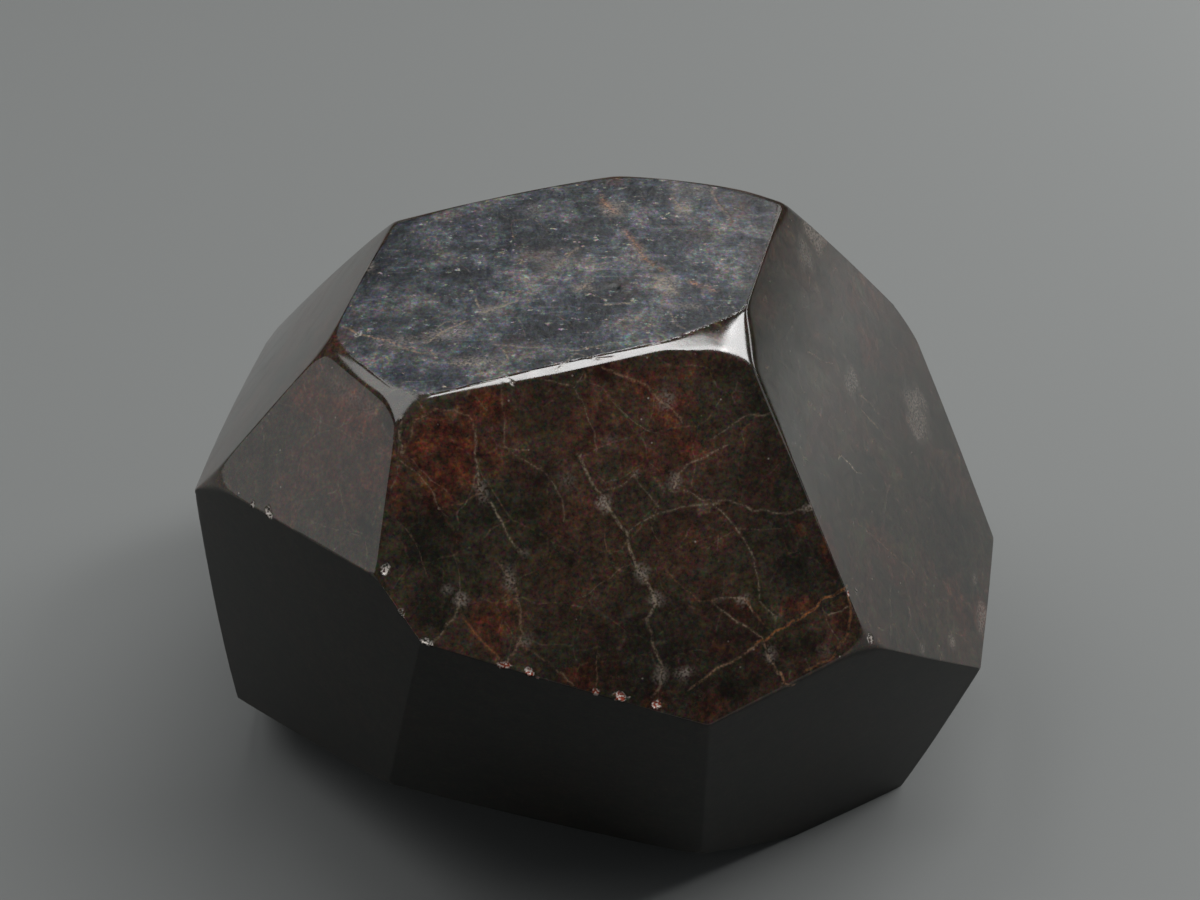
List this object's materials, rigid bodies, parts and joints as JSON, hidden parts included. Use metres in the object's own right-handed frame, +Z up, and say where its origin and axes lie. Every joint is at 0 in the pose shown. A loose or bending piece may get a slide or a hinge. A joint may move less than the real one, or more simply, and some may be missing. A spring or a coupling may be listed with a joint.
{
  "type": "garnet crystal",
  "caption": "Dark red garnet crystal, many-sided and hand polished on flat facets, a solid paperweight-sized mineral specimen that lies on one flat face.",
  "frame": {"origin": "on the plane of the flat resting face, under the middle of the stone's outline", "axes": "+Z up, square to the resting face; +X to the right across the stone's longest extent; +Y towards the back, away from the large front shoulder facet"},
  "size_m": [0.0548, 0.0528, 0.0428],
  "materials": {
    "garnet": "hand-polished natural garnet, glossy, near-black brownish red with healed cracks"
  },
  "bodies": {
    "root": {"garnet_crystal": "garnet"}
  },
  "joints": []
}
